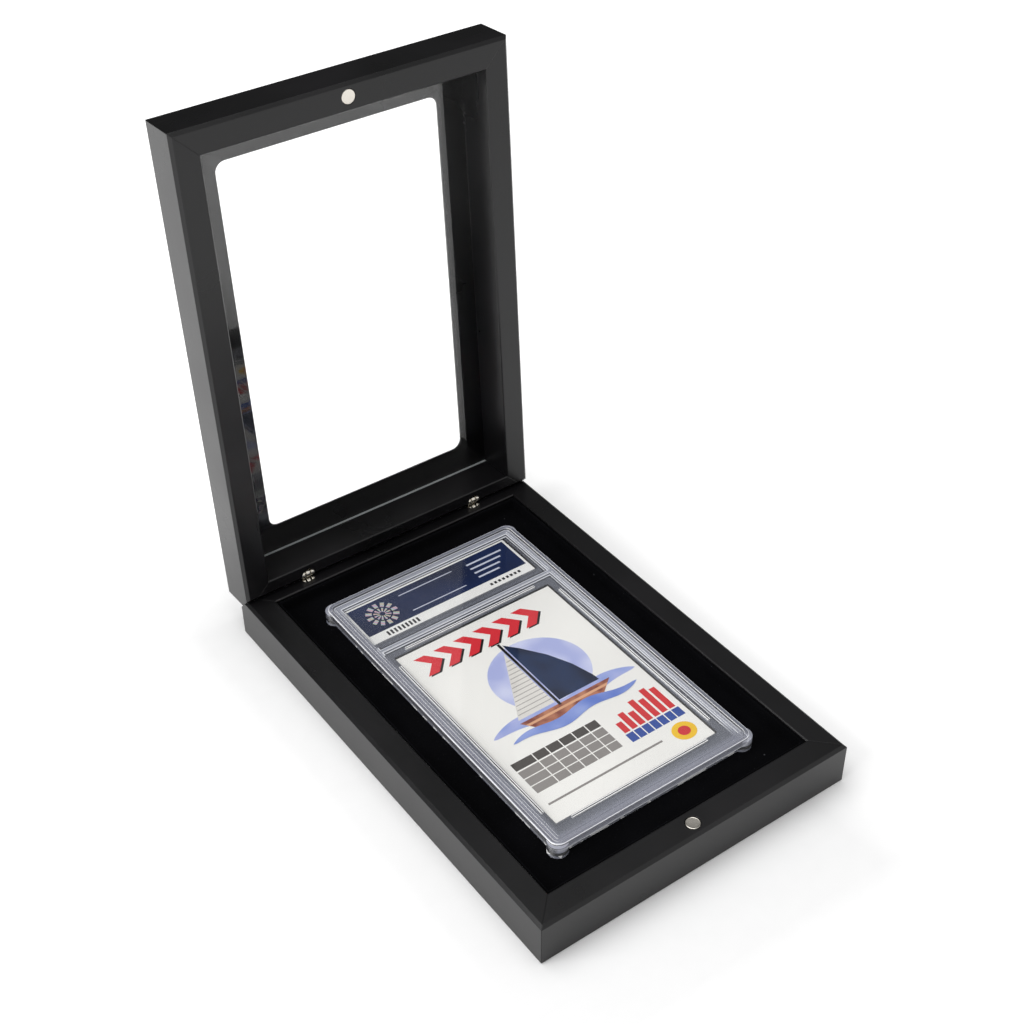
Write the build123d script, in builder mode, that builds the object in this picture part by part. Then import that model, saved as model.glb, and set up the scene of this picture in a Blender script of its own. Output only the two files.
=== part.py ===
from build123d import *
from math import cos, radians, sin
import os

# Display case for one sealed trading card: a black lacquered box whose lid has a clear
# window, a velvet tray, two double-pivot barrel hinges and a clear two-shell card holder.
# Millimetres. Origin at the centre of the underside, +X right, +Y to the hinges, +Z up.
# The lid stands open against its stop.

# Case frames
case_width = 119.5
case_length = 175.0
base_height = 16.0
lid_depth = 15.2
rail_width = 9.0
rim_chamfer = 1.0
base_hinge_chamfer = 4.16
lid_hinge_chamfer = 4.6
edge_break = 0.3
closed_gap = 0.15

# Base board, in a rabbet round the underside
board_thickness = 3.0
board_land = 5.0
fit_gap = 0.1

# Velvet tray
velvet_level = 11.2
velvet_thickness = 1.0
velvet_wall = 1.2
velvet_below_rim = 0.8

# Lid window
panel_thickness = 0.7
panel_land = 4.5
pane_thickness = 1.0
window_width = 81.2
window_length = 136.8
window_corner = 3.6

# Round fittings on the centre line of the rails
fitting_radius = 2.5
bore_gap = 0.03
magnet_length = 3.0

# Double-pivot barrel hinges
hinge_spacing = 70.8
barrel_depth = 12.0
pin_depth = 1.75
pin_radius = 0.45
pin_length = 4.8
press_gap = 0.02
running_gap = 0.05
barrel_end_radius = 1.5
shoulder_below_pin = 1.3
slot_width = 0.7
slot_offset = 0.95
slot_depth = 3.2
link_thickness = 0.6
link_width = 1.5
link_lean = 9.5
lid_turn_on_links = 83.8

# Card holder, lying on the velvet
holder_centre_y = -0.8
holder_width = 78.1
holder_length = 132.3
holder_corner = 3.5
holder_height = 5.2
lower_shell_inset = 0.9
lower_shell_height = 2.4
shell_floor = 1.2
shell_roof = 1.2
lobe_radius = 3.4
lobe_inset = 2.65
lobe_top_drop = 0.8
stack_ridge_width = 1.3
stack_ridge_height = 0.4
window_ridge_inset = 2.5
window_ridge_width = 0.9
window_ridge_height = 0.25
crossbar_width = 1.1
crossbar_y = 36.0
shell_edge_round = 0.3
frame_inset = 1.95
pocket_corner = 1.2
frame_plate = 1.55
frame_floor = 0.55
bar_width = 1.0
bar_height = 0.8
bar_offset = 1.45
bar_end_short = 4.7

# Card and label
card_width = 63.5
card_length = 88.9
card_thickness = 0.35
card_y = -12.1
label_width = 67.8
label_length = 20.7
label_thickness = 0.3
label_y = 52.75
paper_gap = 0.3

half_width = case_width / 2
half_length = case_length / 2
inner_width = case_width - 2 * rail_width
inner_length = case_length - 2 * rail_width
fitting_inset = rail_width / 2
hinge_xs = (-hinge_spacing / 2, hinge_spacing / 2)
X_AXIS = Vector(1, 0, 0)

os.makedirs("parts", exist_ok=True)


def save(piece, name):
    """Label a finished piece and write it to its own file."""
    piece.part.label = name
    export_step(piece.part, f"parts/{name}.step")


# Where the two halves stand. Each half has a rim plane: origin at the middle of its rim,
# +Z out of the rim. The links turn on pins in the base, the lid turns on pins in the links.
base_rim = Plane(origin=(0, 0, base_height))
lean = radians(link_lean)
opening = radians(link_lean + lid_turn_on_links)
pin_spacing = 2 * pin_depth + closed_gap
base_pin = Vector(0, half_length - fitting_inset, base_height - pin_depth)
link_direction = Vector(0, sin(lean), cos(lean))
lid_pin = base_pin + link_direction * pin_spacing
lid_up = Vector(0, -cos(opening), sin(opening))
lid_outward = Vector(0, sin(opening), cos(opening))
lid_middle = lid_pin + lid_up * (half_length - fitting_inset) - lid_outward * pin_depth
lid_rim = Plane(origin=lid_middle, x_dir=X_AXIS, z_dir=-lid_outward)


def rail_section(depth, land, rabbet):
    """Section of a rail, x from its outer face, y from the rim, rabbeted on the far side."""
    return [
        (-rail_width, -edge_break),
        (edge_break - rail_width, 0),
        (-rim_chamfer, 0),
        (0, -rim_chamfer),
        (0, edge_break - depth),
        (-edge_break, -depth),
        (land - rail_width, -depth),
        (land - rail_width, rabbet - depth),
        (-rail_width, rabbet - depth),
    ]


def mitred_rail(half, outward, bore_depth=0.0, bore_places=()):
    """A rail extruded along its side of the frame, mitred, drilled and chamfered."""
    rim, hinge_end, section, depth, hinge_chamfer = half
    is_side = outward.cross(X_AXIS).length < 0.5
    half_span = half_width if is_side else half_length
    half_run = half_length if is_side else half_width
    along = Plane(origin=rim.origin, x_dir=outward, z_dir=outward.cross(rim.z_dir))
    plan = Plane(origin=rim.origin, x_dir=outward, z_dir=rim.z_dir)
    hinge_edge = Plane(
        origin=rim.origin + hinge_end * half_length,
        x_dir=hinge_end,
        z_dir=hinge_end.cross(rim.z_dir),
    )
    with BuildPart() as rail:
        with BuildSketch(along):
            with BuildLine():
                Polyline(*[(half_span + x, y) for x, y in section], close=True)
            make_face()
        extrude(amount=half_run, both=True)
        with BuildSketch(plan):
            with BuildLine():
                Polyline(
                    (half_span, half_run),
                    (half_span, -half_run),
                    (half_span - rail_width, rail_width - half_run),
                    (half_span - rail_width, half_run - rail_width),
                    close=True,
                )
            make_face()
        extrude(amount=-depth, mode=Mode.INTERSECT)
        for place in bore_places:
            with BuildSketch(plan):
                with Locations((half_span - fitting_inset, place)):
                    Circle(fitting_radius + bore_gap)
            extrude(amount=-bore_depth, mode=Mode.SUBTRACT)
        # the 45 degree chamfer that lets the lid swing runs the full width, over the mitres
        with BuildSketch(hinge_edge):
            with BuildLine():
                Polyline((-hinge_chamfer, 0), (0, 0), (0, -hinge_chamfer), close=True)
            make_face()
        extrude(amount=half_width, both=True, mode=Mode.SUBTRACT)
    return rail


# Base rails
base_section = rail_section(base_height, board_land, board_thickness)
base_back = base_rim.y_dir
base_half = (base_rim, base_back, base_section, base_height, base_hinge_chamfer)

save(mitred_rail(base_half, -X_AXIS), "base_rail_left")
save(mitred_rail(base_half, X_AXIS), "base_rail_right")
save(mitred_rail(base_half, -base_back, magnet_length, (0,)), "base_rail_front")
save(mitred_rail(base_half, base_back, barrel_depth, hinge_xs), "base_rail_back")

# Base board, dropped into the rabbet from below
with BuildPart() as base_board:
    rabbet_margin = 2 * (rail_width - board_land + fit_gap)
    with BuildSketch():
        Rectangle(case_width - rabbet_margin, case_length - rabbet_margin)
    extrude(amount=board_thickness)
save(base_board, "base_board")

# Velvet liner, a tray of floor and four walls, on a board core
liner_width = inner_width - 2 * fit_gap
liner_length = inner_length - 2 * fit_gap
velvet_top = base_height - velvet_below_rim
core_top = velvet_level - velvet_thickness

with BuildPart() as tray_core:
    with BuildSketch(Plane.XY.offset(board_thickness)):
        Rectangle(liner_width, liner_length)
    extrude(amount=core_top - board_thickness)
save(tray_core, "tray_core")

with BuildPart() as velvet_liner:
    with BuildSketch(Plane.XY.offset(core_top)):
        Rectangle(liner_width, liner_length)
    extrude(amount=velvet_top - core_top)
    with BuildSketch(Plane.XY.offset(velvet_level)):
        Rectangle(liner_width - 2 * velvet_wall, liner_length - 2 * velvet_wall)
    extrude(amount=velvet_top - velvet_level, mode=Mode.SUBTRACT)
save(velvet_liner, "velvet_liner")

# Lid rails. The lid's own +Y runs from the hinges to its free end.
lid_section = rail_section(lid_depth, panel_land, panel_thickness)
lid_free = lid_rim.y_dir
lid_half = (lid_rim, -lid_free, lid_section, lid_depth, lid_hinge_chamfer)

save(mitred_rail(lid_half, -X_AXIS), "lid_rail_left")
save(mitred_rail(lid_half, X_AXIS), "lid_rail_right")
save(mitred_rail(lid_half, lid_free, magnet_length, (0,)), "lid_rail_free_end")
save(mitred_rail(lid_half, -lid_free, barrel_depth, hinge_xs), "lid_rail_hinge_end")

# Window panel, flush with the outside of the lid, its opening round-cornered
with BuildPart() as window_panel:
    panel_margin = 2 * (rail_width - panel_land + fit_gap)
    with BuildSketch(lid_rim.offset(-lid_depth)):
        Rectangle(case_width - panel_margin, case_length - panel_margin)
        RectangleRounded(window_width, window_length, window_corner, mode=Mode.SUBTRACT)
    extrude(amount=panel_thickness)
save(window_panel, "window_panel")

# Window pane, a clear sheet between the rails, against the inside of the panel
with BuildPart() as window_pane:
    with BuildSketch(lid_rim.offset(panel_thickness - lid_depth)):
        Rectangle(inner_width - 2 * fit_gap, inner_length - 2 * fit_gap)
    extrude(amount=pane_thickness)
save(window_pane, "window_pane")


def magnet(rim, y):
    """A disc magnet, flush with the rim."""
    with BuildPart() as disc:
        with BuildSketch(rim):
            with Locations((0, y)):
                Circle(fitting_radius)
        extrude(amount=-magnet_length)
    return disc


save(magnet(base_rim, fitting_inset - half_length), "base_magnet")
save(magnet(lid_rim, half_length - fitting_inset), "lid_magnet")


def hinge_barrel(rim, pin):
    """A barrel down a bored rail: slotted for two links, its end round about the pin."""
    across = Plane(origin=pin, x_dir=rim.y_dir, z_dir=X_AXIS)
    mouth = Plane(origin=pin + rim.z_dir * pin_depth, x_dir=X_AXIS, z_dir=rim.z_dir)
    with BuildPart() as barrel:
        with BuildSketch(mouth):
            Circle(fitting_radius)
        extrude(amount=-barrel_depth)
        with BuildSketch(across):
            Circle(barrel_end_radius)
            Rectangle(2 * barrel_end_radius, barrel_depth, align=(Align.CENTER, Align.MAX))
            with Locations((0, -shoulder_below_pin)):
                Rectangle(2 * fitting_radius, barrel_depth, align=(Align.CENTER, Align.MAX))
        extrude(amount=fitting_radius, both=True, mode=Mode.INTERSECT)
        with BuildSketch(mouth):
            with Locations((-slot_offset, 0), (slot_offset, 0)):
                Rectangle(slot_width, 2 * fitting_radius)
        extrude(amount=-slot_depth, mode=Mode.SUBTRACT)
        with BuildSketch(across):
            Circle(pin_radius + press_gap)
        extrude(amount=fitting_radius, both=True, mode=Mode.SUBTRACT)
    return barrel


def hinge_pins(pin):
    """The pivot pins of both hinges, on one line."""
    with BuildPart() as pins:
        for x in hinge_xs:
            with BuildSketch(Plane(origin=pin + X_AXIS * x, x_dir=(0, 1, 0), z_dir=X_AXIS)):
                Circle(pin_radius)
            extrude(amount=pin_length / 2, both=True)
    return pins


def link_plates(x):
    """The two round-ended plates of one hinge, bored to run on the pins."""
    middle = base_pin + link_direction * (pin_spacing / 2)
    with BuildPart() as plates:
        for side in (-slot_offset, slot_offset):
            plate_origin = middle + X_AXIS * (x + side)
            with BuildSketch(Plane(origin=plate_origin, x_dir=link_direction, z_dir=X_AXIS)):
                SlotCenterToCenter(pin_spacing, link_width)
                with Locations((-pin_spacing / 2, 0), (pin_spacing / 2, 0)):
                    Circle(pin_radius + running_gap, mode=Mode.SUBTRACT)
            extrude(amount=link_thickness / 2, both=True)
    return plates


for side_name, hinge_x in zip(("left", "right"), hinge_xs):
    save(hinge_barrel(base_rim, base_pin + X_AXIS * hinge_x), f"base_barrel_{side_name}")
    save(hinge_barrel(lid_rim, lid_pin + X_AXIS * hinge_x), f"lid_barrel_{side_name}")
    save(link_plates(hinge_x), f"link_plates_{side_name}")
save(hinge_pins(base_pin), "base_hinge_pins")
save(hinge_pins(lid_pin), "lid_hinge_pins")

# Card holder: levels and outlines, measured from the velvet up
holder_bed = Plane(origin=(0, holder_centre_y, velvet_level))
parting = holder_bed.offset(lower_shell_height)
frame_bed = holder_bed.offset(shell_floor)
shell_top = holder_height - stack_ridge_height
lobe_places = GridLocations(holder_width - 2 * lobe_inset, holder_length - 2 * lobe_inset, 2, 2)
pocket_width = holder_width - 2 * (frame_inset - fit_gap / 2)
pocket_length = holder_length - 2 * (frame_inset - fit_gap / 2)


def inset_outline(inset, mode=Mode.ADD):
    """The holder's rounded outline, drawn in by an inset on every side."""
    RectangleRounded(
        holder_width - 2 * inset,
        holder_length - 2 * inset,
        max(holder_corner - inset, edge_break),
        mode=mode,
    )


# Lower shell: drawn in under the upper one, with a round lobe at each corner to stand on
with BuildPart() as lower_shell:
    with BuildSketch(holder_bed):
        inset_outline(lower_shell_inset)
        with lobe_places:
            Circle(lobe_radius)
    extrude(amount=lower_shell_height)
    with BuildSketch(parting):
        RectangleRounded(pocket_width, pocket_length, pocket_corner)
    extrude(amount=shell_floor - lower_shell_height, mode=Mode.SUBTRACT)
save(lower_shell, "holder_lower_shell")

# Upper shell: the same lobes, a pocket below, and stepped ridges round its two windows
with BuildPart() as upper_shell:
    with BuildSketch(parting):
        with lobe_places:
            Circle(lobe_radius)
    extrude(amount=holder_height - lobe_top_drop - lower_shell_height)
    with BuildSketch(parting):
        inset_outline(0)
    extrude(amount=shell_top - lower_shell_height)
    with BuildSketch(holder_bed.offset(shell_top)):
        inset_outline(0)
        inset_outline(stack_ridge_width, mode=Mode.SUBTRACT)
    extrude(amount=stack_ridge_height)
    with BuildSketch(holder_bed.offset(shell_top)):
        inset_outline(window_ridge_inset)
        inset_outline(window_ridge_inset + window_ridge_width, mode=Mode.SUBTRACT)
        with Locations((0, crossbar_y)):
            Rectangle(holder_width - 2 * window_ridge_inset, crossbar_width)
    extrude(amount=window_ridge_height)
    fillet(upper_shell.faces().sort_by(Axis.Z)[-1].outer_wire().edges(), shell_edge_round)
    with BuildSketch(parting):
        RectangleRounded(pocket_width, pocket_length, pocket_corner)
    extrude(amount=shell_top - shell_roof - lower_shell_height, mode=Mode.SUBTRACT)
save(upper_shell, "holder_upper_shell")

# Inner frame: a well for the card and one for the label, four bars round the card
card_plane = frame_bed.offset(frame_floor)
with BuildPart() as inner_frame:
    with BuildSketch(frame_bed):
        inset_outline(frame_inset)
    extrude(amount=frame_plate)
    with BuildSketch(card_plane):
        with Locations((0, card_y)):
            Rectangle(card_width + 2 * paper_gap, card_length + 2 * paper_gap)
        with Locations((0, label_y)):
            Rectangle(label_width + 2 * paper_gap, label_length + 2 * paper_gap)
    extrude(amount=frame_plate - frame_floor, mode=Mode.SUBTRACT)
    with BuildSketch(frame_bed.offset(frame_plate)):
        with Locations(
            (-card_width / 2 - bar_offset, card_y),
            (card_width / 2 + bar_offset, card_y),
        ):
            SlotOverall(card_length - 2 * bar_end_short, bar_width, rotation=90)
        with Locations(
            (0, card_y - card_length / 2 - bar_offset),
            (0, card_y + card_length / 2 + bar_offset),
        ):
            SlotOverall(card_width - 2 * bar_end_short, bar_width)
    extrude(amount=bar_height)
save(inner_frame, "holder_inner_frame")

# Label and card, lying in their wells
with BuildPart() as label:
    with BuildSketch(card_plane):
        with Locations((0, label_y)):
            Rectangle(label_width, label_length)
    extrude(amount=label_thickness)
save(label, "holder_label")

with BuildPart() as trading_card:
    with BuildSketch(card_plane):
        with Locations((0, card_y)):
            Rectangle(card_width, card_length)
    extrude(amount=card_thickness)
save(trading_card, "trading_card")
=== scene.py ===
from math import cos, pi, radians, sin, tau

import bpy
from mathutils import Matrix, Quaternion, Vector


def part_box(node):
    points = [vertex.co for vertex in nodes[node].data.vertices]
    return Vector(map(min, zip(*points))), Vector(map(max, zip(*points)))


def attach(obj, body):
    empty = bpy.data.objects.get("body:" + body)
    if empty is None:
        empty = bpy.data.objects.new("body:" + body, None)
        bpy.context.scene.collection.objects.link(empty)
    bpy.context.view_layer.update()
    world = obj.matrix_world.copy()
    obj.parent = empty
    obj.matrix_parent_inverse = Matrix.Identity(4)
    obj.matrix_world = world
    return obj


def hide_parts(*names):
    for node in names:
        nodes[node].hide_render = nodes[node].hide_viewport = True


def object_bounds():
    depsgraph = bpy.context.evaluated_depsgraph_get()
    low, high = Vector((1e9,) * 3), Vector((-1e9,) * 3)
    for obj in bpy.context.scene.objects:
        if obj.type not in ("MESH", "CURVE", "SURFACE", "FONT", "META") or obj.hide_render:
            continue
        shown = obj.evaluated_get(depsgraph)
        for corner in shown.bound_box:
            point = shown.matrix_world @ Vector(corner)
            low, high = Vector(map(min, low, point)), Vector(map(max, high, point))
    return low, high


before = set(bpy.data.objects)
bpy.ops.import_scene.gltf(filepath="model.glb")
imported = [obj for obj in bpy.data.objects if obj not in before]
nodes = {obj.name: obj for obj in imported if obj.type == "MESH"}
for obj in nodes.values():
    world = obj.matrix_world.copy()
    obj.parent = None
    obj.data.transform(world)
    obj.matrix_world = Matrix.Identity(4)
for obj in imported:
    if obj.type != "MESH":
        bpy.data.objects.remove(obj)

cad_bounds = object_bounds()

# ------------------------------------------------------------------ the photographer's table
# A sheet of white paper lies under the case. The lamps leave a soft grey shadow on it beside
# the case, deepened by a painted shadow: its glow is held low there and leans to the front
# left. Further off the glow turns it pure white, to the camera, in reflections and through the
# lid's window.


def srgb(code, alpha=1.0):
    """Linear colour of an sRGB hex value."""
    channels = [int(code[i:i + 2], 16) / 255 for i in (0, 2, 4)]
    return [c / 12.92 if c <= 0.04045 else ((c + 0.055) / 1.055) ** 2.4 for c in channels] + [alpha]


def add(tree, kind, inputs=None, **settings):
    """Add one shader node: settings are its properties, inputs are values or sockets to join."""
    node = tree.nodes.new("ShaderNode" + kind)
    for name, value in settings.items():
        setattr(node, name, value)
    for name, value in (inputs or {}).items():
        if isinstance(value, bpy.types.NodeSocket):
            tree.links.new(value, node.inputs[name])
        else:
            node.inputs[name].default_value = value
    return node


def new_material(name):
    """An empty node material and the socket that its shader goes into."""
    material = bpy.data.materials.new(name)
    material.use_nodes = True
    material.node_tree.nodes.clear()
    output = add(material.node_tree, "OutputMaterial")
    return material, material.node_tree, output.inputs["Surface"]


def new_piece(name, verts, faces, materials, smooth=False):
    """A mesh object made of points and faces, in the case's own frame."""
    mesh = bpy.data.meshes.new(name)
    mesh.from_pydata(verts, [], faces)
    mesh.update()
    for material in materials:
        mesh.materials.append(material)
    for polygon in mesh.polygons:
        polygon.use_smooth = smooth
    piece = bpy.data.objects.new(name, mesh)
    bpy.context.scene.collection.objects.link(piece)
    return piece


paper_size = 6.0
paper_shade = srgb("f2f2f2")
# painted shadow: beside the case the paper's glow is held low, and it rises over a few cm
painted_shadow_glow = 0.03
glow_far_off = 0.45
painted_shadow_width = 0.06
glow_at_horizon = 0.25
horizon_from = 0.4
horizon_to = 1.4
painted_shadow_lean = (-0.014, -0.012, 0)
fibres_across_paper = 900.0

material, tree, surface = new_material("white_paper")
path = add(tree, "LightPath")
seen = add(
    tree, "Math",
    {0: path.outputs["Is Camera Ray"], 1: path.outputs["Is Glossy Ray"]}, operation="MAXIMUM",
)
seen = add(
    tree, "Math",
    {0: seen.outputs[0], 1: path.outputs["Is Transmission Ray"]}, operation="MAXIMUM",
)
# painted shadow: the glow grows with the distance from the case, measured from a leant middle
case_corner = (cad_bounds[1][0], cad_bounds[1][1], 0)
spot = add(tree, "TexCoord").outputs["Object"]
leaning = add(tree, "VectorMath", {0: spot, 1: painted_shadow_lean}, operation="SUBTRACT")
outward = add(tree, "VectorMath", {0: leaning.outputs[0]}, operation="ABSOLUTE")
past = add(tree, "VectorMath", {0: outward.outputs[0], 1: case_corner}, operation="SUBTRACT")
outside = add(tree, "VectorMath", {0: past.outputs[0], 1: (0, 0, 0)}, operation="MAXIMUM")
off = add(tree, "VectorMath", {0: outside.outputs[0]}, operation="LENGTH")
rise = add(
    tree, "MapRange",
    {0: off.outputs["Value"], 2: painted_shadow_width, 3: painted_shadow_glow, 4: glow_far_off},
)
horizon = add(
    tree, "MapRange",
    {0: off.outputs["Value"], 1: horizon_from, 2: horizon_to, 3: 0.0, 4: glow_at_horizon},
)
level = add(tree, "Math", {0: rise.outputs[0], 1: horizon.outputs[0]}, operation="ADD")
glow = add(tree, "Math", {0: seen.outputs[0], 1: level.outputs[0]}, operation="MULTIPLY")
fibre = add(tree, "TexNoise", {"Scale": fibres_across_paper, "Detail": 2.0})
tone = add(tree, "MapRange", {0: fibre.outputs[0], 3: 0.97, 4: 1.0})
shade = add(
    tree, "Mix",
    {"A": (0, 0, 0, 1), "B": paper_shade, "Factor": tone.outputs[0]}, data_type="RGBA",
)
matt = add(tree, "BsdfDiffuse", {"Color": shade.outputs["Result"]})
shine = add(tree, "Emission", {"Color": (1, 1, 1, 1), "Strength": glow.outputs[0]})
both = add(tree, "AddShader", {0: matt.outputs[0], 1: shine.outputs[0]})
tree.links.new(both.outputs[0], surface)

half = paper_size / 2
table = new_piece(
    "paper_table",
    [(-half, -half, 0), (half, -half, 0), (half, half, 0), (-half, half, 0)],
    [(0, 1, 2, 3)],
    [material],
)

# ------------------------------------------------------------------ studio light and camera
# One broad soft box stands to the left and another hangs overhead. The room is dark near the
# horizon, so the lacquer reads black from there, and grows lighter upwards.

room_low = 0.05
room_high = 0.4
room_front = 0.8
room_fill = 0.42
dark_below = 0.56
light_above = 0.77
front_from = -0.2
front_full = -0.5

world = bpy.data.worlds.new("studio_room")
bpy.context.scene.world = world
world.use_nodes = True
tree = world.node_tree
tree.nodes.clear()
path = add(tree, "LightPath")
direction = add(tree, "TexCoord")
axes = add(tree, "SeparateXYZ", {0: direction.outputs["Generated"]})
rising = add(
    tree, "MapRange",
    {0: axes.outputs["Z"], 1: dark_below, 2: light_above, 3: room_low, 4: room_high},
)
nearer = add(
    tree, "MapRange",
    {0: axes.outputs["Y"], 1: front_from, 2: front_full, 3: 0.0, 4: room_front},
)
around = add(tree, "Math", {0: rising.outputs[0], 1: nearer.outputs[0]}, operation="MAXIMUM")
clear = add(
    tree, "Math",
    {0: path.outputs["Is Camera Ray"], 1: path.outputs["Is Transmission Ray"]}, operation="MAXIMUM",
)
mirrored = add(
    tree, "Mix",
    {"Factor": path.outputs["Is Glossy Ray"], "A": room_fill, "B": around.outputs[0]},
)
strength = add(tree, "Mix", {"Factor": clear.outputs[0], "A": mirrored.outputs[0], "B": 1.0})
room = add(tree, "Background", {"Color": (1, 1, 1, 1), "Strength": strength.outputs[0]})
output = add(tree, "OutputWorld")
tree.links.new(room.outputs[0], output.inputs["Surface"])


def soft_box(name, place, aim, size, power):
    """A rectangular area lamp at a place, turned to an aim point."""
    lamp = bpy.data.lights.new(name, "AREA")
    lamp.shape = "RECTANGLE"
    lamp.size, lamp.size_y = size
    lamp.energy = power
    stand = bpy.data.objects.new(name, lamp)
    stand.location = place
    stand.rotation_euler = (Vector(aim) - Vector(place)).to_track_quat("-Z", "Y").to_euler()
    bpy.context.scene.collection.objects.link(stand)


soft_box("high_box", (-0.15, 0.12, 1.3), (0, 0, 0), (1.1, 1.1), 9.5)
soft_box("left_box", (-1.2, 0.1, 0.7), (0, 0, 0.05), (1.0, 0.8), 11.0)

camera_place = Vector((-0.237134, -0.323601, 0.397959))
camera_aim = Vector((0.4563857, 0.6388307, -0.6193605))
camera_roll = radians(-0.566)
camera_lens = 58.71

camera_data = bpy.data.cameras.new("camera")
camera_data.lens = camera_lens
camera_data.sensor_width = 36.0
camera = bpy.data.objects.new("camera", camera_data)
camera.location = camera_place
turn = camera_aim.to_track_quat("-Z", "Y") @ Quaternion((0, 0, 1), camera_roll)
camera.rotation_euler = turn.to_euler()
bpy.context.scene.collection.objects.link(camera)
bpy.context.scene.camera = camera
bpy.context.scene.view_settings.view_transform = "Standard"

# ------------------------------------------------------------------ lacquered rails and boards
# Mitred rails of fine-grained fibreboard, sprayed with black catalysed lacquer and left satin.
# The spray leaves a faint orange peel and rounds every edge a little.

lacquer_black = srgb("0a0a0b")
lacquer_worn = srgb("121113")
orange_peel = 0.0011
lacquer_cloud = 0.03
nib_pitch = 0.004
edge_radius = 0.00035


def satin_lacquer():
    """Black sprayed lacquer, faintly clouded, with orange peel and a few dust nibs."""
    material, tree, surface = new_material("satin_black_lacquer")
    spot = add(tree, "TexCoord").outputs["Object"]
    cloud = add(tree, "TexNoise", {"Vector": spot, "Scale": 1 / lacquer_cloud, "Detail": 3.0})
    grain = add(tree, "TexNoise", {"Vector": spot, "Scale": 1 / orange_peel, "Detail": 2.0})
    nib = add(tree, "TexVoronoi", {"Vector": spot, "Scale": 1 / nib_pitch, "Randomness": 1.0})
    dust = add(tree, "MapRange", {0: nib.outputs["Distance"], 1: 0.01, 2: 0.03, 3: 1.0, 4: 0.0})
    worn = add(tree, "MapRange", {0: cloud.outputs[0], 1: 0.35, 2: 0.7})
    shade = add(
        tree, "Mix",
        {"Factor": worn.outputs[0], "A": lacquer_black, "B": lacquer_worn}, data_type="RGBA",
    )
    dull = add(tree, "MapRange", {0: cloud.outputs[0], 1: 0.3, 2: 0.7, 3: 0.26, 4: 0.33})
    height = add(tree, "Math", {0: dust.outputs[0], 1: grain.outputs[0]}, operation="ADD")
    edge = add(tree, "Bevel", {"Radius": edge_radius}, samples=4)
    bump = add(
        tree, "Bump",
        {
            "Height": height.outputs[0],
            "Strength": 0.12,
            "Distance": 0.00005,
            "Normal": edge.outputs[0],
        },
    )
    shader = add(
        tree, "BsdfPrincipled",
        {
            "Base Color": shade.outputs["Result"],
            "Roughness": dull.outputs[0],
            "Specular IOR Level": 0.4,
            "Normal": bump.outputs[0],
        },
    )
    tree.links.new(shader.outputs[0], surface)
    return material


def dress(material, *names):
    """Give CAD pieces their finish in place of the plain one they load with."""
    for name in names:
        mesh = nodes[name].data
        mesh.materials.clear()
        mesh.materials.append(material)


lacquer = satin_lacquer()
dress(lacquer, "base_rail_left", "base_rail_right", "base_rail_front", "base_rail_back")
dress(lacquer, "lid_rail_left", "lid_rail_right", "lid_rail_free_end", "lid_rail_hinge_end")
dress(lacquer, "base_board", "window_panel")

# ------------------------------------------------------------------ tray core
# Plain grey board, cut to drop between the rails. It lies under the velvet and gives it a
# flat bed; its cut edges show the fibres.

board_grey = srgb("55524e")
board_pale = srgb("6b6862")
board_fibre = 0.0012

material, tree, surface = new_material("grey_board")
spot = add(tree, "TexCoord").outputs["Object"]
fibre = add(tree, "TexNoise", {"Vector": spot, "Scale": 1 / board_fibre, "Detail": 5.0})
shade = add(
    tree, "Mix",
    {"Factor": fibre.outputs[0], "A": board_grey, "B": board_pale}, data_type="RGBA",
)
bump = add(tree, "Bump", {"Height": fibre.outputs[0], "Strength": 0.3, "Distance": 0.0001})
shader = add(
    tree, "BsdfPrincipled",
    {"Base Color": shade.outputs["Result"], "Roughness": 0.95, "Normal": bump.outputs[0]},
)
tree.links.new(shader.outputs[0], surface)
dress(material, "tray_core")

# ------------------------------------------------------------------ velvet lining
# Short-pile black velvet glued over the board: flat on the floor, turned up the four walls
# and rolled over at their tops, a little below the rim. The pile swallows nearly all light.

velvet_section = [
    # inset from the rails, height above the lining's underside, corner radius, all in mm
    (0.02, 0.15, 0.4), (0.02, 4.3, 0.4), (0.12, 4.72, 0.4), (0.38, 4.93, 0.45), (0.66, 4.98, 0.5),
    (0.94, 4.88, 0.6), (1.12, 4.62, 0.7), (1.2, 4.2, 0.75), (1.24, 2.1, 0.8), (1.38, 1.55, 0.9),
    (1.72, 1.14, 1.1), (2.3, 0.98, 1.5), (3.2, 0.94, 2.2), (6.0, 0.94, 4.0),
]
velvet_black = srgb("010102")
velvet_brushed = srgb("040406")
velvet_lint = srgb("4c4d50")
pile_pitch = 0.0006
brush_patch = 0.018
lint_pitch = 0.011


def rounded_ring(half_x, half_y, radius, z, steps=6):
    """Points once round a rectangle with rounded corners."""
    points = []
    for quarter, (side_x, side_y) in enumerate(((1, 1), (-1, 1), (-1, -1), (1, -1))):
        for step in range(steps + 1):
            turn = (quarter + step / steps) * pi / 2
            points.append((
                side_x * (half_x - radius) + radius * cos(turn),
                side_y * (half_y - radius) + radius * sin(turn),
                z,
            ))
    return points


def skin(rings, close_end=False, close_start=False):
    """The points of a row of rings and the faces that join each to the next."""
    count = len(rings[0])
    verts = [point for ring in rings for point in ring]
    faces = []
    for row in range(len(rings) - 1):
        for i in range(count):
            j = (i + 1) % count
            low, high = row * count, (row + 1) * count
            faces.append((low + i, low + j, high + j, high + i))
    if close_end:
        faces.append(tuple(range((len(rings) - 1) * count, len(rings) * count)))
    if close_start:
        faces.append(tuple(reversed(range(count))))
    return verts, faces


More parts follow.
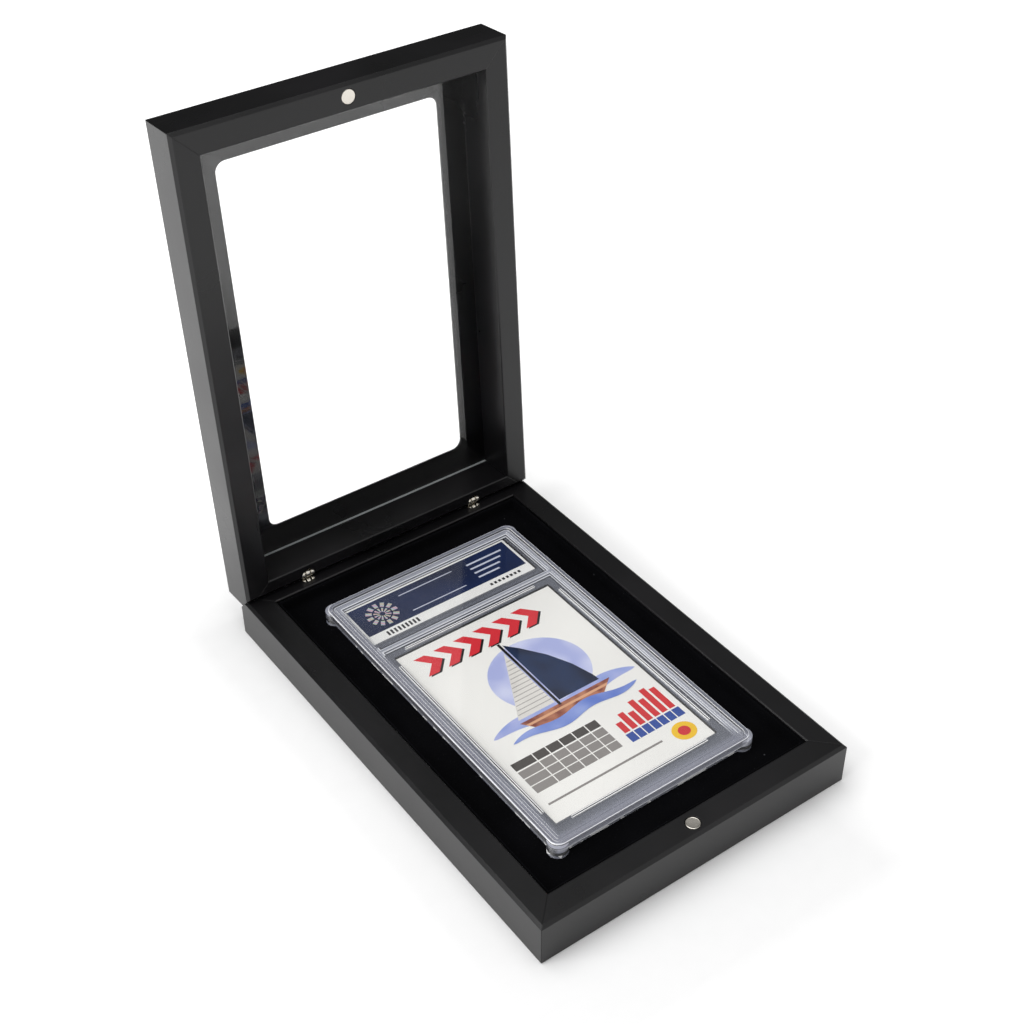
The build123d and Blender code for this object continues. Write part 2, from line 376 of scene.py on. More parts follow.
material, tree, surface = new_material("black_velvet_pile")
spot = add(tree, "TexCoord").outputs["Object"]
pile = add(tree, "TexNoise", {"Vector": spot, "Scale": 1 / pile_pitch, "Detail": 2.0})
brushed = add(tree, "TexNoise", {"Vector": spot, "Scale": 1 / brush_patch, "Detail": 3.0})
speck = add(tree, "TexVoronoi", {"Vector": spot, "Scale": 1 / lint_pitch, "Randomness": 1.0})
lint = add(tree, "MapRange", {0: speck.outputs["Distance"], 1: 0.012, 2: 0.03, 3: 0.7, 4: 0.0})
lie = add(tree, "MapRange", {0: brushed.outputs[0], 1: 0.4, 2: 0.7})
shade = add(
    tree, "Mix",
    {"Factor": lie.outputs[0], "A": velvet_black, "B": velvet_brushed}, data_type="RGBA",
)
shade = add(
    tree, "Mix",
    {"Factor": lint.outputs[0], "A": shade.outputs["Result"], "B": velvet_lint}, data_type="RGBA",
)
bump = add(tree, "Bump", {"Height": pile.outputs[0], "Strength": 0.5, "Distance": 0.0002})
shader = add(
    tree, "BsdfPrincipled",
    {
        "Base Color": shade.outputs["Result"],
        "Roughness": 1.0,
        "Specular IOR Level": 0.08,
        "Sheen Weight": 0.02,
        "Sheen Roughness": 0.4,
        "Sheen Tint": srgb("b9c4e8"),
        "Normal": bump.outputs[0],
    },
)
tree.links.new(shader.outputs[0], surface)

low, high = (Vector(corner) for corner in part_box("velvet_liner"))
rings = [
    rounded_ring(high.x - inset / 1000, high.y - inset / 1000, radius / 1000, low.z + rise / 1000)
    for inset, rise, radius in velvet_section
]
velvet = new_piece("velvet_lining", *skin(rings, close_end=True), [material], smooth=True)
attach(velvet, "base")
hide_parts("velvet_liner")

# ------------------------------------------------------------------ disc magnets
# Nickel-plated neodymium discs, 5 mm across, pressed into bores in the two end rails. The
# plating is bright, finely scratched, and rolls over at the rim, where it catches the light.

nickel_pale = srgb("ddd8cf")
nickel_dark = srgb("cdc8bf")
handling_cloud = 0.0012
scratch_grain = (9000.0, 900.0, 900.0)
polished_dullest = 0.28
disc_rounding = 0.00001
magnet_section = [
    # radius and depth below the face, in mm
    (2.47, 2.95), (2.47, 0.32), (2.4, 0.14), (2.25, 0.05), (2.1, 0.04), (2.02, 0.07), (1.9, 0.08),
]


def bright_nickel(name, pale, dark, dullest, rounding):
    """Polished nickel plate: nearly a mirror, clouded by handling, with fine random scratches."""
    material, tree, surface = new_material(name)
    spot = add(tree, "TexCoord").outputs["Object"]
    cloud = add(tree, "TexNoise", {"Vector": spot, "Scale": 1 / handling_cloud, "Detail": 3.0})
    drawn = add(tree, "Mapping", {"Vector": spot, "Scale": scratch_grain})
    scratch = add(tree, "TexNoise", {"Vector": drawn.outputs[0], "Scale": 1.0, "Detail": 1.0})
    shade = add(tree, "Mix", {"Factor": cloud.outputs[0], "A": dark, "B": pale}, data_type="RGBA")
    dull = add(tree, "MapRange", {0: cloud.outputs[0], 1: 0.3, 2: 0.7, 3: 0.16, 4: dullest})
    edge = add(tree, "Bevel", {"Radius": rounding}, samples=8)
    bump = add(
        tree, "Bump",
        {
            "Height": scratch.outputs[0],
            "Strength": 0.06,
            "Distance": 0.00002,
            "Normal": edge.outputs[0],
        },
    )
    shader = add(
        tree, "BsdfPrincipled",
        {
            "Base Color": shade.outputs["Result"],
            "Metallic": 1.0,
            "Roughness": dull.outputs[0],
            "Normal": bump.outputs[0],
        },
    )
    tree.links.new(shader.outputs[0], surface)
    return material


def turned_disc(name, face, axis, section, material, steps=72):
    """A disc turned about an axis; face is the middle of its front, axis points out of it."""
    side = axis.orthogonal().normalized()
    up = axis.cross(side)
    rings = []
    for radius, depth in section:
        middle = face - axis * depth / 1000
        rings.append([
            middle + (side * cos(tau * i / steps) + up * sin(tau * i / steps)) * radius / 1000
            for i in range(steps)
        ])
    return new_piece(name, *skin(rings, close_end=True, close_start=True), [material], smooth=True)


def rim_middle(node, axis):
    """The middle of the face that a short round node turns to an axis."""
    points = [vertex.co for vertex in nodes[node].data.vertices]
    furthest = max(point.dot(axis) for point in points)
    face = [point for point in points if point.dot(axis) > furthest - 1e-5]
    return sum(face, Vector()) / len(face)


lid_open = radians(93.3)
lid_facing = Vector((0, -sin(lid_open), -cos(lid_open)))
magnet_nickel = bright_nickel(
    "nickel_plated_magnet", nickel_pale, nickel_dark, polished_dullest, disc_rounding
)

for body, axis in (("base", Vector((0, 0, 1))), ("lid", lid_facing)):
    node = f"{body}_magnet"
    face = rim_middle(node, axis)
    disc = turned_disc(f"{body}_disc_magnet", face, axis, magnet_section, magnet_nickel)
    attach(disc, body)
    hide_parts(node)

# ------------------------------------------------------------------ barrel hinges
# Turned brass barrels, nickel-plated, driven into bores in the two hinge rails. Each is
# slotted for two link plates, which swing on steel pins.

plate_pale = srgb("f6f2ea")
plate_warm = srgb("d9d2c2")
steel_pale = srgb("b4b4b2")
steel_dark = srgb("8d8d8c")
wire_dullest = 0.36
barrel_rounding = 0.00015
wire_rounding = 0.00005

hinge_nickel = bright_nickel(
    "nickel_plated_brass", plate_pale, plate_warm, polished_dullest, barrel_rounding
)
pin_steel = bright_nickel("bright_steel_wire", steel_pale, steel_dark, wire_dullest, wire_rounding)
dress(hinge_nickel, "base_barrel_left", "base_barrel_right", "lid_barrel_left", "lid_barrel_right")
dress(hinge_nickel, "link_plates_left", "link_plates_right")
dress(pin_steel, "base_hinge_pins", "lid_hinge_pins")

# ------------------------------------------------------------------ window pane
# Clear cast acrylic, 1 mm, glued behind the lacquered panel. It mirrors a twentieth of the
# light head on and more at a slant; its sawn ends are frosty and catch the light.

acrylic_tint = srgb("ffffff")
edge_frost = srgb("c4c8c8")
dust_grey = srgb("c9cac9")
pane_head_on = 0.055
pane_grazing = 1.0
smear_size = 0.025
dust_pitch = 0.014
saw_pitch = 0.0007


def mirror_share(tree, head_on, grazing):
    """How much a clear surface mirrors, from head on to a grazing angle."""
    slant = add(tree, "LayerWeight", {"Blend": 0.5})
    rise = add(tree, "Math", {0: slant.outputs["Facing"], 1: 5.0}, operation="POWER")
    return add(tree, "MapRange", {0: rise.outputs[0], 3: head_on, 4: grazing})


material, tree, surface = new_material("clear_cast_acrylic")
place = add(tree, "TexCoord")
spot = place.outputs["Object"]
share = mirror_share(tree, pane_head_on, pane_grazing)
smear = add(tree, "TexNoise", {"Vector": spot, "Scale": 1 / smear_size, "Detail": 3.0})
dull = add(tree, "MapRange", {0: smear.outputs[0], 1: 0.4, 2: 0.75, 3: 0.015, 4: 0.05})
see = add(tree, "BsdfTransparent", {"Color": acrylic_tint})
gloss = add(tree, "BsdfGlossy", {"Color": (1, 1, 1, 1), "Roughness": dull.outputs[0]})
clear_skin = add(tree, "MixShader", {0: share.outputs[0], 1: see.outputs[0], 2: gloss.outputs[0]})
speck = add(tree, "TexVoronoi", {"Vector": spot, "Scale": 1 / dust_pitch, "Randomness": 1.0})
fleck = add(tree, "MapRange", {0: speck.outputs["Distance"], 1: 0.004, 2: 0.01, 3: 0.2, 4: 0.0})
dust = add(tree, "BsdfDiffuse", {"Color": dust_grey})
dusty = add(tree, "MixShader", {0: fleck.outputs[0], 1: clear_skin.outputs[0], 2: dust.outputs[0]})
lid_length = lid_facing.cross(Vector((1, 0, 0)))
end_on = add(
    tree, "VectorMath", {0: place.outputs["Normal"], 1: lid_length}, operation="DOT_PRODUCT"
)
end_on = add(tree, "Math", {0: end_on.outputs["Value"]}, operation="ABSOLUTE")
sawn = add(tree, "MapRange", {0: end_on.outputs[0], 1: 0.4, 2: 0.8})
saw_marks = add(tree, "TexNoise", {"Vector": spot, "Scale": 1 / saw_pitch, "Detail": 2.0})
frost_tone = add(tree, "MapRange", {0: saw_marks.outputs[0], 3: 0.7, 4: 1.0})
frost_shade = add(
    tree, "Mix",
    {"Factor": frost_tone.outputs[0], "A": (0, 0, 0, 1), "B": edge_frost}, data_type="RGBA",
)
frost = add(
    tree, "BsdfPrincipled", {"Base Color": frost_shade.outputs["Result"], "Roughness": 0.45}
)
pane = add(tree, "MixShader", {0: sawn.outputs[0], 1: dusty.outputs[0], 2: frost.outputs[0]})
tree.links.new(pane.outputs[0], surface)
dress(material, "window_pane")

# ------------------------------------------------------------------ card holder shells
# Two shells of clear polystyrene, injection-moulded and welded shut round their edges. The
# windows are polished; the walls look grey. Every step and ridge ends in a painted highlight
# line, many with a painted shade line beside it.

# the corner lobes stand out past the holder's outline by this much on each side
lobe_reach = Vector((0.00075, 0.00075, 0))
shell_low, shell_high = (Vector(corner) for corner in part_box("holder_upper_shell"))
holder_low, holder_high = shell_low + lobe_reach, shell_high - lobe_reach
velvet_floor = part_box("holder_lower_shell")[0][2]
holder_corner = 0.0035
crossbar_from_middle = 0.036
crossbar_half = 0.0023
crossbar_blur = 0.0002
crossbar_lines = 0.00345
light_turns = 0.004
polystyrene_ior = 1.59
polished = 0.3
shell_head_on = 0.052
grazing_gain = 4
moulding_cloud = 0.02
barely_seen = 0.005
lobe_tone = (srgb("b4b6c4"), 0.6)
weld_pitch = 0.0035
# weld marks: their pale frost plus a painted glint
weld_frost_and_glint_tone = (srgb("ffffff"), 1.0)
profile_reach = 0.0064

# Profiles of the clear mouldings: where in mm, the grey seen there, how much it covers.
# Their pale lines are painted highlights, their near-black ones painted shade.
far_ridges_painted_lines = [
    # inwards from the holder's outline, over the stacking rim and the ridge round the windows:
    # painted highlight lines at the edges, with painted shade lines beside them
    (0.0, "eceef4", 0.9), (0.22, "eceef4", 0.9), (0.34, "7c808e", 0.65), (1.4, "7c808e", 0.65),
    (1.44, "0c0d10", 0.95), (1.9, "0c0d10", 0.95), (1.96, "dcdee6", 0.8), (2.2, "dcdee6", 0.8),
    (2.34, "7c808e", 0.5), (3.1, "9a9eac", 0.6), (3.85, "a8acb8", 0.7),
    (3.95, "eceef4", 0.85), (4.25, "eceef4", 0.85),
    (4.36, "0c0d10", 0.8), (4.8, "1c1e24", 0.5), (5.0, "3c3e46", 0.005),
]
near_ridges_painted_light = [
    # the same on the two sides next to the soft box, painted smooth and light as the soft box's
    # light fills the steps; only the outline keeps its painted highlight
    (0.0, "eceef4", 0.9), (0.2, "eceef4", 0.9), (0.32, "9698a6", 0.5), (1.3, "8c8e9c", 0.44),
    (2.4, "9496a4", 0.46), (3.4, "8a8d9b", 0.34), (5.0, "8a8e9a", 0.005),
]
upper_walls = [
    # upwards from the velvet, from the parting to the top edge, with a painted highlight on top
    (2.4, "6a6d79", 0.6), (2.7, "9ea1ae", 0.6), (4.95, "a2a4b2", 0.65), (5.1, "f0f1f6", 0.9),
]
# the left walls: a painted reflection of the dark rail beside them, with a painted highlight on top
left_walls_painted_reflection = [(2.4, "26272c", 0.75), (4.7, "34353b", 0.7), (4.85, "ffffff", 1.0)]
lower_walls = [
    # the foot, the pale welded seam and the painted shadow under the upper shell
    (0.0, "1c1d22", 0.15), (0.1, "8a8d9c", 0.4), (0.2, "8a8d9c", 0.7), (0.95, "8a8d9c", 0.7),
    (1.05, "1c1e24", 0.85), (2.4, "1c1e24", 0.85),
]
tray_floor = [(0.0, "8f94a0", 0.005), (5.2, "8f94a0", 0.005)]


def profile(tree, distance, stops):
    """The tone and the cover of a list of stops at a distance."""
    part = add(tree, "MapRange", {0: distance, 2: profile_reach})
    ramp = add(tree, "ValToRGB", {"Fac": part.outputs[0]})
    marks = ramp.color_ramp.elements
    marks.remove(marks[1])
    for i, (place, tone, cover) in enumerate(stops):
        mark = marks[0] if i == 0 else marks.new(1.0)
        mark.position = place / 1000 / profile_reach
        mark.color = srgb(tone, cover)
    return ramp.outputs["Color"], ramp.outputs["Alpha"]


def blend(tree, factor, first, second):
    """From one tone and cover to another."""
    tone = add(tree, "Mix", {"Factor": factor, "A": first[0], "B": second[0]}, data_type="RGBA")
    cover = add(tree, "Mix", {"Factor": factor, "A": first[1], "B": second[1]})
    return tone.outputs["Result"], cover.outputs[0]


def outside_of(tree, spot, low, high, corner=0.0):
    """How far a spot lies outside an upright rounded box; inside it, less than nothing."""
    middle = (low + high) / 2
    straight = (high - low) / 2 - Vector((corner, corner, 0))
    centred = add(tree, "VectorMath", {0: spot, 1: middle}, operation="SUBTRACT")
    outward = add(tree, "VectorMath", {0: centred.outputs[0]}, operation="ABSOLUTE")
    past = add(tree, "VectorMath", {0: outward.outputs[0], 1: straight}, operation="SUBTRACT")
    flat = add(tree, "VectorMath", {0: past.outputs[0], 1: (1, 1, 0)}, operation="MULTIPLY")
    round_part = add(tree, "VectorMath", {0: flat.outputs[0], 1: (0, 0, 0)}, operation="MAXIMUM")
    rounded = add(tree, "VectorMath", {0: round_part.outputs[0]}, operation="LENGTH")
    axes = add(tree, "SeparateXYZ", {0: flat.outputs[0]})
    nearest = add(tree, "Math", {0: axes.outputs["X"], 1: axes.outputs["Y"]}, operation="MAXIMUM")
    level_part = add(tree, "Math", {0: nearest.outputs[0], 1: 0.0}, operation="MINIMUM")
    reach = add(
        tree, "Math", {0: rounded.outputs["Value"], 1: level_part.outputs[0]}, operation="ADD"
    )
    return add(tree, "Math", {0: reach.outputs[0], 1: corner}, operation="SUBTRACT").outputs[0]


def clear_polystyrene(name, flats, walls, dullness, head_on=shell_head_on):
    """Clear plastic, greyer where it is thick or stepped; flats and walls give its grey and its
    painted highlight and shade lines.
    """
    material, tree, surface = new_material(name)
    place = add(tree, "TexCoord")
    spot = place.outputs["Object"]
    above = add(tree, "SeparateXYZ", {0: spot})
    height = add(tree, "Math", {0: above.outputs["Z"], 1: velvet_floor}, operation="SUBTRACT")
    height = height.outputs[0]
    way = add(tree, "SeparateXYZ", {0: place.outputs["Normal"]})
    faces_up = add(tree, "MapRange", {0: way.outputs["Z"], 1: 0.4, 2: 0.6}).outputs[0]
    faces_down = add(tree, "MapRange", {0: way.outputs["Z"], 1: -0.4, 2: -0.6}).outputs[0]
    tone, cover = blend(
        tree, faces_up, walls(tree, spot, height, way.outputs["X"]), flats(tree, spot, height)
    )
    cloud = add(tree, "TexNoise", {"Vector": spot, "Scale": 1 / moulding_cloud, "Detail": 2.0})
    drift = add(tree, "MapRange", {0: cloud.outputs[0], 1: 0.3, 2: 0.7, 3: 0.85, 4: 1.1})
    thick = add(tree, "Math", {0: cover, 1: drift.outputs[0]}, operation="MULTIPLY")
    under = add(tree, "Mix", {"Factor": faces_down, "A": thick.outputs[0], "B": barely_seen})
    outer_share = mirror_share(tree, head_on, head_on * grazing_gain)
    share = add(tree, "Mix", {"Factor": faces_down, "A": outer_share.outputs[0], "B": 0.0})
    see = add(tree, "BsdfTransparent", {"Color": (1, 1, 1, 1)})
    # clear plastic gathers light from above, also in its walls
    raised = add(tree, "VectorMath", {0: place.outputs["Normal"], 1: (0, 0, 1.2)}, operation="ADD")
    lit_from = add(tree, "VectorMath", {0: raised.outputs[0]}, operation="NORMALIZE")
    body = add(
        tree, "BsdfPrincipled",
        {
            "Base Color": tone,
            "Roughness": dullness,
            "IOR": polystyrene_ior,
            "Normal": lit_from.outputs[0],
        },
    )
    gloss = add(tree, "BsdfGlossy", {"Color": (1, 1, 1, 1), "Roughness": 0.05})
    inside = add(tree, "MixShader", {0: under.outputs[0], 1: see.outputs[0], 2: body.outputs[0]})
    plastic = add(
        tree, "MixShader", {0: share.outputs[0], 1: inside.outputs[0], 2: gloss.outputs[0]}
    )
    tree.links.new(plastic.outputs[0], surface)
    return material


def ridged_top(tree, spot, height):
    """Painted highlight and shade lines by the distance from the outline, or from the bar
    between the two windows; smoother painted light on the sides next to the soft box.
    """
    outside = outside_of(tree, spot, holder_low, holder_high, holder_corner)
    inside = add(tree, "Math", {0: 0.0, 1: outside}, operation="SUBTRACT").outputs[0]
    middle = (holder_low + holder_high) / 2
    centred = add(tree, "VectorMath", {0: spot, 1: middle}, operation="SUBTRACT")
    axes = add(tree, "SeparateXYZ", {0: centred.outputs[0]})
    past_bar = {0: axes.outputs["Y"], 1: crossbar_from_middle}
    from_bar = add(tree, "Math", past_bar, operation="SUBTRACT")
    from_bar = add(tree, "Math", {0: from_bar.outputs[0]}, operation="ABSOLUTE")
    bar = add(tree, "Math", {0: from_bar.outputs[0], 1: crossbar_lines}, operation="ADD")
    nearest = add(tree, "Math", {0: inside, 1: bar.outputs[0]}, operation="MINIMUM")
    far_lines = profile(tree, nearest.outputs[0], far_ridges_painted_lines)
    near_lines = profile(tree, inside, near_ridges_painted_light)
    # painted light: the sides next to the soft box take the smooth profile, the far sides the lined
    # one
    half = (holder_high - holder_low) / 2
    slope = add(
        tree, "Math",
        {0: axes.outputs["X"], 1: half.y / half.x, 2: axes.outputs["Y"]}, operation="MULTIPLY_ADD",
    )
    beyond = add(tree, "MapRange", {0: slope.outputs[0], 1: -light_turns, 2: light_turns})
    on_lobe = add(tree, "MapRange", {0: outside, 1: 0.00005, 2: 0.00015}).outputs[0]
    starts, full = crossbar_half + crossbar_blur, crossbar_half - crossbar_blur
    at_bar = add(tree, "MapRange", {0: from_bar.outputs[0], 1: starts, 2: full}).outputs[0]
    within = add(tree, "MapRange", {0: inside, 1: 0.0035, 2: 0.0038}).outputs[0]
    on_bar = add(tree, "Math", {0: at_bar, 1: within}, operation="MULTIPLY").outputs[0]
    far = add(tree, "Math", {0: beyond.outputs[0], 1: on_bar}, operation="MAXIMUM").outputs[0]
    return blend(tree, on_lobe, blend(tree, far, near_lines, far_lines), lobe_tone)


def shell_walls(tree, spot, height, sideways):
    """Pale walls, but dark on the left, a painted reflection of the rail beside them."""
    to_left = add(tree, "MapRange", {0: sideways, 1: -0.5, 2: -0.8}).outputs[0]
    pale, dark = profile(tree, height, upper_walls), profile(tree, height, left_walls_painted_reflection)
    return blend(tree, to_left, pale, dark)


def welded_walls(tree, spot, height, sideways):
    """The drawn-in lower wall, with short weld marks where the shells were joined, painted pure
    white: pale frost with a painted glint.
    """
    weld = add(tree, "TexNoise", {"Vector": spot, "Scale": 1 / weld_pitch, "Detail": 0.0})
    dash = add(tree, "MapRange", {0: weld.outputs[0], 1: 0.56, 2: 0.58}).outputs[0]
    below = add(tree, "MapRange", {0: height, 1: 0.0001, 2: 0.0002}).outputs[0]
    above = add(tree, "MapRange", {0: height, 1: 0.0013, 2: 0.0012}).outputs[0]
    outside = outside_of(tree, spot, holder_low, holder_high, holder_corner)
    outer = add(tree, "MapRange", {0: outside, 1: -0.0016, 2: -0.0013}).outputs[0]
    for limit in (below, above, outer):
        dash = add(tree, "Math", {0: dash, 1: limit}, operation="MULTIPLY").outputs[0]
    return blend(tree, dash, profile(tree, height, lower_walls), weld_frost_and_glint_tone)


def plain_floor(tree, spot, height):
    """The flat floor of the lower shell, so clear that hardly anything of it is seen."""
    return profile(tree, height, tray_floor)


shell_plastic = clear_polystyrene("clear_polystyrene_shell", ridged_top, shell_walls, polished)
tray_plastic = clear_polystyrene("clear_polystyrene_tray", plain_floor, welded_walls, polished)
dress(shell_plastic, "holder_upper_shell")
dress(tray_plastic, "holder_lower_shell")

# ------------------------------------------------------------------ inner frame
# A second moulding of frosted clear polystyrene fills the shells. Its wells hold the card and
# the label, and four slim bars stand round the card.

frosted = 0.5
frame_plate = [
    # outwards from the card or the label: the gap painted dark as shade, then the plate
    (0.0, "0c0d10", 0.95), (0.34, "0c0d10", 0.95), (0.42, "7d818d", 0.5), (6.4, "7d818d", 0.5),
]
frame_bars = [
    # outwards from the card, across a bar: painted highlights on its edges, dark between them
    (0.9, "ffffff", 1.0), (1.22, "ffffff", 1.0), (1.28, "1c1e24", 0.7), (1.62, "1c1e24", 0.7),
    (1.68, "ffffff", 1.0), (2.0, "ffffff", 1.0),
]
frame_walls = [
    # upwards from the velvet: painted shade at the foot, then paler up to a painted highlight at
    # the top edge
    (2.7, "141518", 0.8), (2.78, "141518", 0.8), (2.85, "c4c8d2", 0.6), (3.6, "f4f5f9", 0.85),
]


def frame_top(tree, spot, height):
    """The plate with its gaps round the papers painted dark as shade, and the bars that stand on
    it with painted highlights along their edges.
    """
    from_card = outside_of(tree, spot, *(Vector(corner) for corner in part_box("trading_card")))
    from_label = outside_of(tree, spot, *(Vector(corner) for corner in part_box("holder_label")))
    from_paper = add(tree, "Math", {0: from_card, 1: from_label}, operation="MINIMUM").outputs[0]
    on_bar = add(tree, "MapRange", {0: height, 1: 0.0031, 2: 0.0032}).outputs[0]
    plate, bars = profile(tree, from_paper, frame_plate), profile(tree, from_card, frame_bars)
    return blend(tree, on_bar, plate, bars)


def frame_sides(tree, spot, height, sideways):
    """The walls of the wells and bars, by height alone."""
    return profile(tree, height, frame_walls)


frame_plastic = clear_polystyrene(
    "frosted_polystyrene_frame", frame_top, frame_sides, frosted, head_on=0.0
)
dress(frame_plastic, "holder_inner_frame")

# ------------------------------------------------------------------ label
# Satin paper printed in one dark blue with a white border and strip, a foil rosette on its
# left and plain rules on its right. It lies in the smaller well of the inner frame.

ink_lift = 0.00002
paper_tooth = 0.0004
petal_count = 12
petal_half_width = 0.75
petal_rings = ((1.0, 3.1), (3.7, 5.9))
rosette_middle = Vector((-23.0, 1.8))
foil_pitch_scale = 160.0
paper_white = srgb("eeeeec")
label_blue = srgb("101a36")
label_blue_pale = srgb("182850")
label_silver = srgb("c9cede")
label_dark = srgb("2a2a2e")


def printed_paper(name, colour, second=None, patch=0.01, dullness=0.4):
    """Coated paper or ink: an even colour, or two that drift into each other over a patch."""
    material, tree, surface = new_material(name)
    spot = add(tree, "TexCoord").outputs["Object"]
    drift = add(tree, "TexNoise", {"Vector": spot, "Scale": 1 / patch, "Detail": 1.0})
    tooth = add(tree, "TexNoise", {"Vector": spot, "Scale": 1 / paper_tooth, "Detail": 2.0})
    shift = add(tree, "MapRange", {0: drift.outputs[0], 1: 0.35, 2: 0.65})
    second = second or [channel * 0.94 for channel in colour[:3]] + [1.0]
    shade = add(
        tree, "Mix", {"Factor": shift.outputs[0], "A": colour, "B": second}, data_type="RGBA"
    )
    bump = add(tree, "Bump", {"Height": tooth.outputs[0], "Strength": 0.05, "Distance": 0.00002})
    shader = add(
        tree, "BsdfPrincipled",
        {
            "Base Color": shade.outputs["Result"],
            "Roughness": dullness,
            "Specular IOR Level": 0.2,
            "Normal": bump.outputs[0],
        },
    )
    tree.links.new(shader.outputs[0], surface)
    return material


def print_shapes(name, node, layer, shapes, material):
    """Flat inked shapes, in mm from the middle of a paper node, on its top face."""
    low, high = (Vector(corner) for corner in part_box(node))
    middle = (low + high) / 2
    verts, faces = [], []
    for shape in shapes:
        faces.append(tuple(range(len(verts), len(verts) + len(shape))))
        verts += [
            (middle.x + x / 1000, middle.y + y / 1000, high.z + layer * ink_lift) for x, y in shape
        ]
    piece = new_piece(name, verts, faces, [material])
    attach(piece, "holder")


def oblong(x0, y0, x1, y1):
    """The four corners of a level rectangle."""
    return [(x0, y0), (x1, y0), (x1, y1), (x0, y1)]


def round_shape(x, y, radius_x, radius_y, steps=40):
    """The points of an oval."""
    return [
        (x + radius_x * cos(tau * i / steps), y + radius_y * sin(tau * i / steps))
        for i in range(steps)
    ]


def rosette_foil():
    """Holographic foil: its colour runs through the spectrum along a fine slanted pitch."""
    material, tree, surface = new_material("holographic_foil")
    spot = add(tree, "TexCoord").outputs["Object"]
    wave = add(
        tree, "TexWave",
        {"Vector": spot, "Scale": foil_pitch_scale, "Distortion": 3.0, "Detail": 2.0},
        bands_direction="DIAGONAL",
    )
    hue = add(tree, "CombineColor", {0: wave.outputs["Fac"], 1: 0.28, 2: 0.85}, mode="HSV")
    shader = add(
        tree, "BsdfPrincipled", {"Base Color": hue.outputs[0], "Metallic": 0.6, "Roughness": 0.3}
    )
    tree.links.new(shader.outputs[0], surface)
    return material


dress(printed_paper("white_label_paper", paper_white), "holder_label")
label_ink = printed_paper("dark_blue_label_ink", label_blue, label_blue_pale, patch=0.03)
silver_ink = printed_paper("silver_label_ink", label_silver)
black_ink = printed_paper("black_label_ink", label_dark)

field = [oblong(-33.0, -5.7, 33.0, 9.4)]
print_shapes("label_blue_field", "holder_label", 1, field, label_ink)

petals = []
for i in range(petal_count):
    turn = tau * i / petal_count
    along = Vector((cos(turn), sin(turn)))
    across = Vector((-sin(turn), cos(turn))) * petal_half_width
    for near, far in petal_rings:
        inner, outer = rosette_middle + along * near, rosette_middle + along * far
        petals.append([
            tuple(inner - across * near / 4), tuple(outer - across * far / 6),
            tuple(outer + across * far / 6), tuple(inner + across * near / 4),
        ])
print_shapes("label_foil_rosette", "holder_label", 2, petals, rosette_foil())

rules = [oblong(-13.5, 6.2, 9.0, 6.6), oblong(-13.5, -3.2, 9.0, -2.8)]
rules += [oblong(15.0, 5.4 - 2.6 * i, 30.0 - 2.0 * i, 6.2 - 2.6 * i) for i in range(4)]
print_shapes("label_silver_rules", "holder_label", 2, rules, silver_ink)

ticks = [oblong(-27.0 + 1.5 * i, -9.0, -26.2 + 1.5 * i, -6.7) for i in range(9)]
ticks += [oblong(16.0 + 1.7 * i, -8.4, 17.0 + 1.7 * i, -7.2) for i in range(8)]
print_shapes("label_black_ticks", "holder_label", 2, ticks, black_ink)

# ------------------------------------------------------------------ trading card
# Coated white card printed with a made-up sailing picture, a row of red chevrons, a bar chart
# and a ruled table. It lies in the larger well, behind the shell's window.

card_white = srgb("f1f0ec")
chevron_red = srgb("d6303a")
chart_red = srgb("cf2d33")
chart_blue = srgb("2f4c9a")
sun_lavender = srgb("a9b1df")
sun_pale = srgb("cdd2ee")
wave_blue = srgb("5f79c6")
wave_pale = srgb("8c9ed8")
sail_navy = srgb("1c2f52")
sail_deep = srgb("131f3a")
sail_stripe = srgb("dedbd6")
stripe_grey = srgb("9c9896")
hull_brown = srgb("7d3f34")
hull_tan = srgb("b87a5c")
sand_tan = srgb("dba57f")
table_dark = srgb("4a4643")
table_grey = srgb("8a8683")
accent_yellow = srgb("efc02a")
outline_black = srgb("1d1a1c")
chevron_pitch = 8.0
stripe_rise = 1.87
bar_pitch = 3.1
bar_heights = (5.0, 8.0, 6.5, 10.5, 9.0, 12.5, 11.0)
chart_base = -27.5
row_pitch = 3.6
column_pitch = 5.2


def card_print(name, layer, shapes, colour, second=None, patch=0.01):
    """One ink's shapes on the card, in one colour or two that drift into each other."""
    ink = printed_paper(f"{name}_ink", colour, second, patch)
    print_shapes(f"card_{name}", "trading_card", layer, shapes, ink)


def chevron(x, y, wide, tall):
    """An arrow-shaped band that points to the right."""
    return [
        (x, y), (x + wide * 0.5, y), (x + wide, y + tall / 2), (x + wide * 0.5, y + tall),
        (x, y + tall), (x + wide * 0.5, y + tall / 2),
    ]


def bent_band(x0, x1, y, rise, thick, waves, steps=48):
    """A band that swells up and down and tapers to its ends."""
    upper, lower = [], []
    for i in range(steps + 1):
        t = i / steps
        x = x0 + (x1 - x0) * t
        middle = y + rise * sin(tau * waves * t)
        half = thick / 2 * sin(pi * t) ** 0.6
        upper.append((x, middle + half))
        lower.append((x, middle - half))
    return lower + upper[:0:-1]


